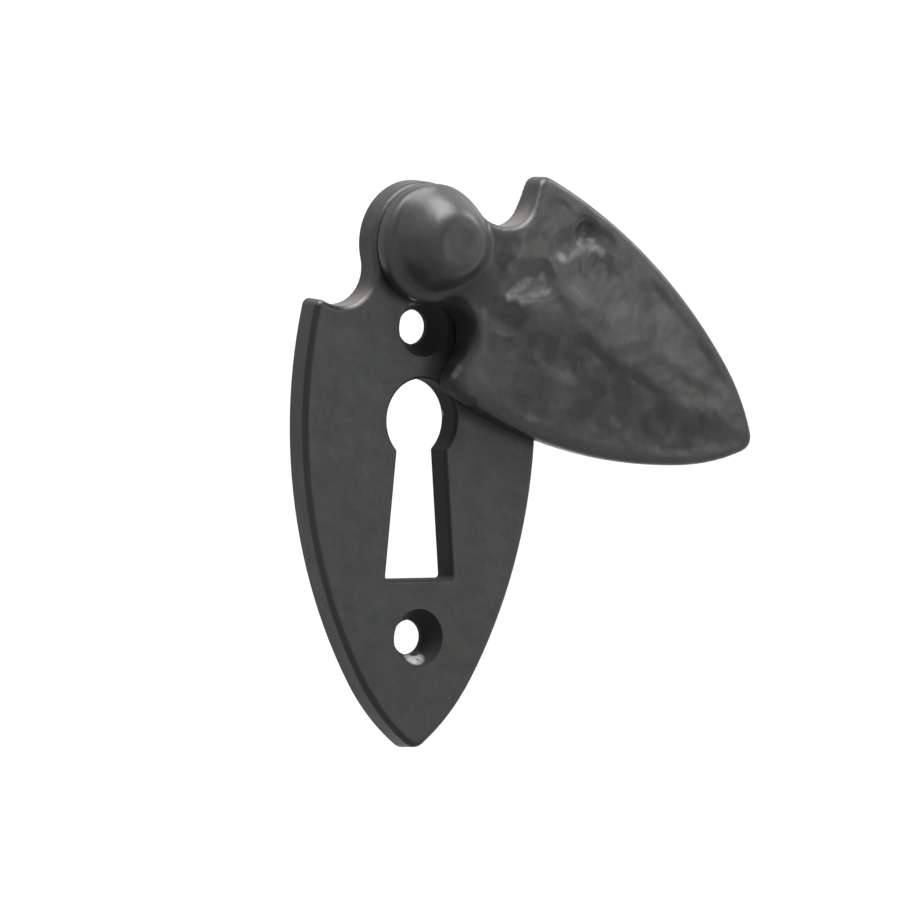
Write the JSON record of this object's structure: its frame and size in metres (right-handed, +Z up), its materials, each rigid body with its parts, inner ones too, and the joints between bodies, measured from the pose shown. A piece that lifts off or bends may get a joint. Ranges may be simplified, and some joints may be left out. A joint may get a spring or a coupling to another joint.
{
  "type": "keyhole escutcheon",
  "caption": "Shield-shaped cast keyhole escutcheon with countersunk screw holes and a hammered, crowned cover that swings on a pivot to hide the keyhole.",
  "frame": {"origin": "centre of the two screw holes, on the plate's back face", "axes": "+Z up the plate towards the pivot, +Y into the door, front towards -Y, +X to the right seen from the front"},
  "size_m": [0.0711, 0.0113, 0.0757],
  "materials": {
    "black_iron": "satin black paint, worn on the corners",
    "steel": "plain"
  },
  "bodies": {
    "plate": {"escutcheon_plate": "black_iron"},
    "cover": {"swing_cover": "black_iron", "pivot_rivet": "steel", "pivot_washer": "steel"}
  },
  "joints": [
    {"name": "cover_swing", "type": "hinge", "parent": "plate", "child": "cover", "pos_m": [0, -0.0034, 0.0316], "axis": [0, -1, 0], "continuous": true}
  ]
}
